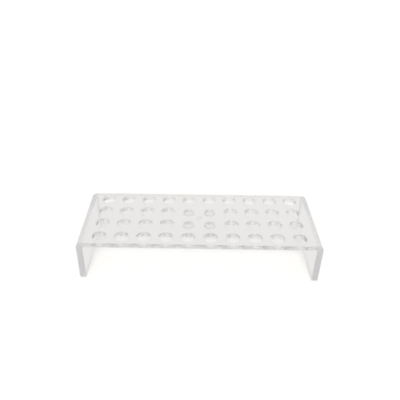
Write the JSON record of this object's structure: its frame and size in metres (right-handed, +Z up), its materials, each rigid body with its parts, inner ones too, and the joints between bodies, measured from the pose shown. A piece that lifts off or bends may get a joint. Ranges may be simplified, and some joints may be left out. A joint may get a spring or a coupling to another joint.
{
  "type": "test tube rack",
  "caption": "Low bridge-shaped test tube rack in clear acrylic sheet: a drilled deck with rows of round holes, bonded between two upright end panels.",
  "frame": {"origin": "on the bench, under the middle of the rack", "axes": "+X along the rows of ten holes towards the right end panel, +Y from the front row to the back row, +Z up"},
  "size_m": [0.24, 0.09, 0.0435],
  "materials": {
    "clear_acrylic": "clear colourless cast acrylic sheet with polished faces, and sawn edges polished smooth"
  },
  "bodies": {
    "root": {"deck_plate": "clear_acrylic", "left_end_panel": "clear_acrylic", "right_end_panel": "clear_acrylic"}
  },
  "joints": []
}
